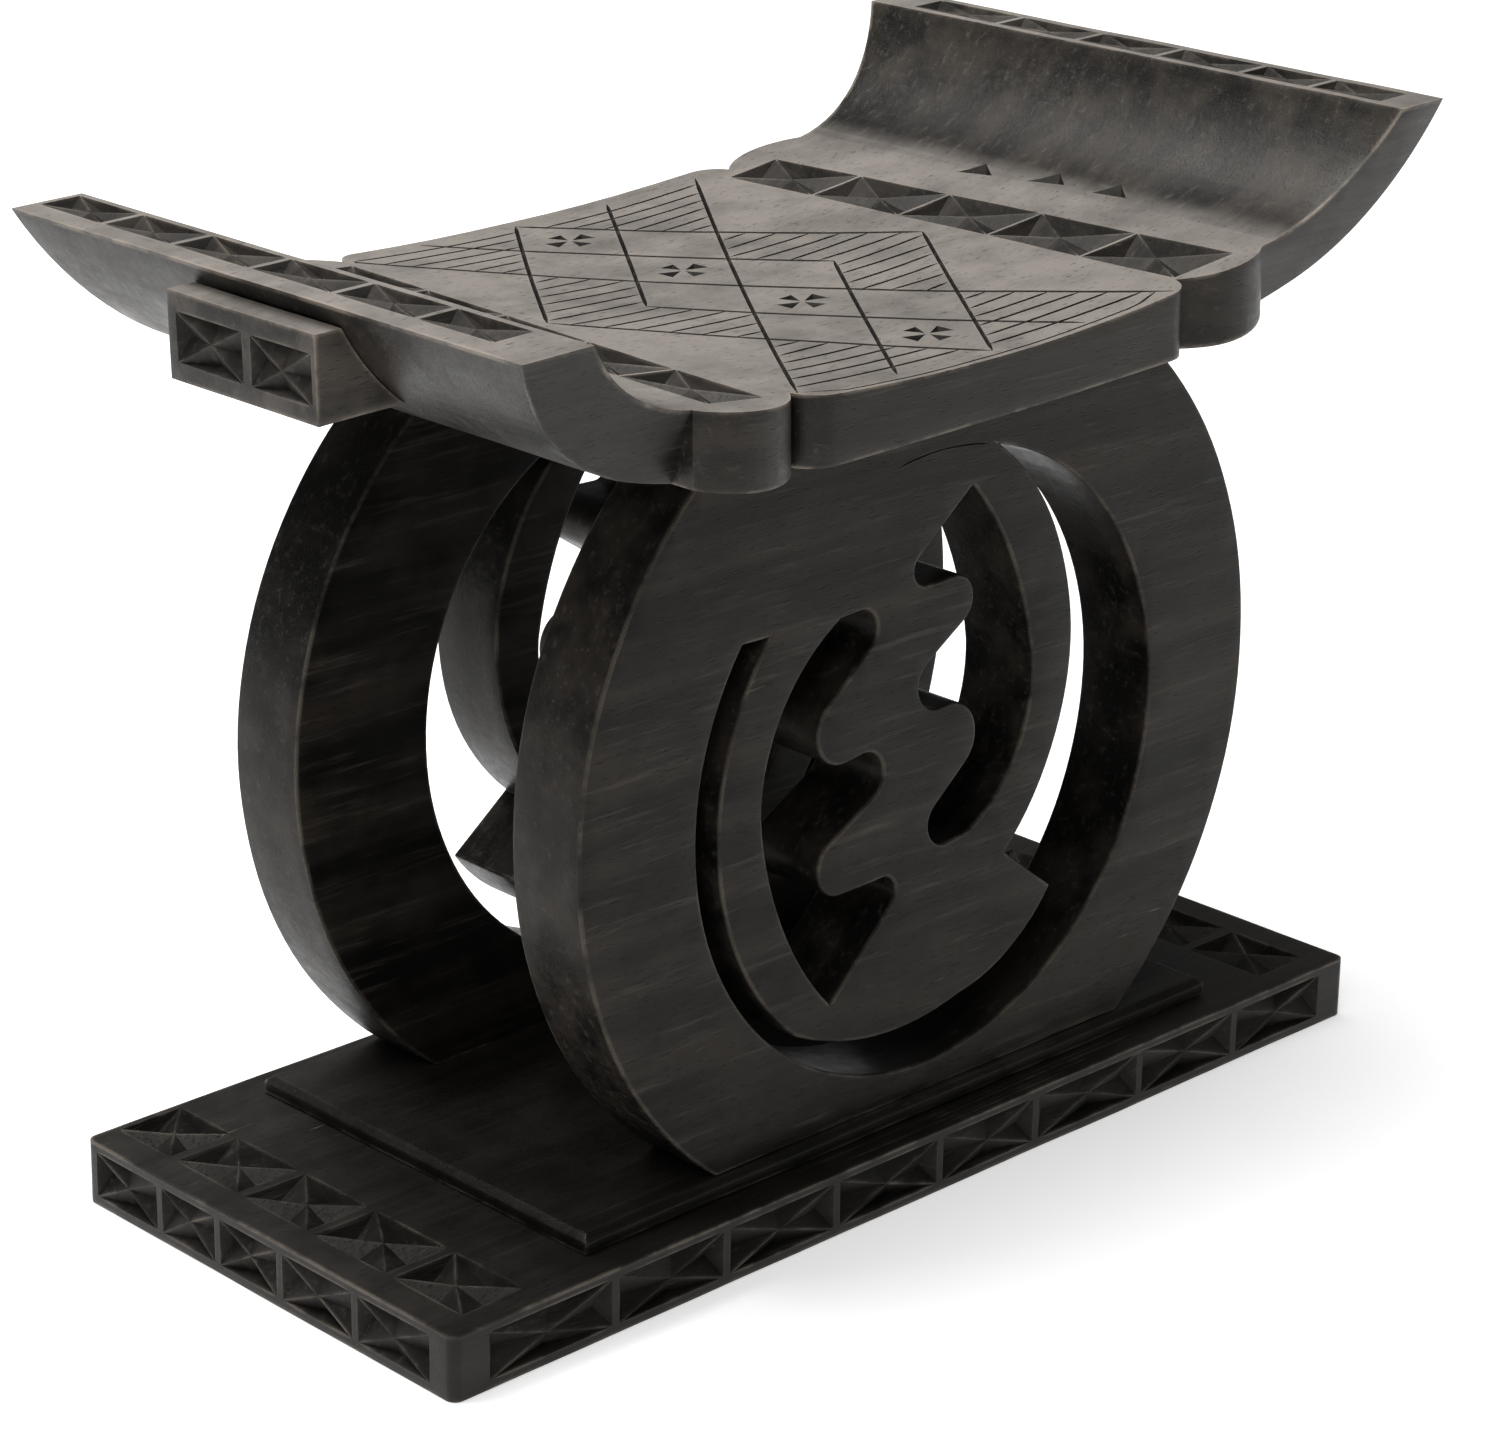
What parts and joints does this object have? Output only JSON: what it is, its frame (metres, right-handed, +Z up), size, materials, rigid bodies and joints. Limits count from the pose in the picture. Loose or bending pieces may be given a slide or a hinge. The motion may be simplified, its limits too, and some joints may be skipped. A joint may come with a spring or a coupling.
{
  "type": "carved stool",
  "caption": "Low ceremonial stool with a curved, winged seat on pierced round side panels and a stepped rectangular base.",
  "frame": {"origin": "middle of the underside of the base board, on the floor", "axes": "+X along the length of the stool, +Y across its depth, +Z up"},
  "size_m": [0.56, 0.322, 0.4558],
  "materials": {
    "seat_wood": "satin, ebonised, rubbed pale along the edges",
    "panel_wood": "satin, ebonised",
    "base_wood": "satin, ebonised",
    "dowel_wood": "plain, unfinished"
  },
  "bodies": {
    "root": {"seat": "seat_wood", "left_lug": "seat_wood", "right_lug": "seat_wood", "front_panel": "panel_wood", "back_panel": "panel_wood", "base_step": "base_wood", "base_board": "base_wood", "lug_pins": "dowel_wood", "step_pins": "dowel_wood"}
  },
  "joints": []
}
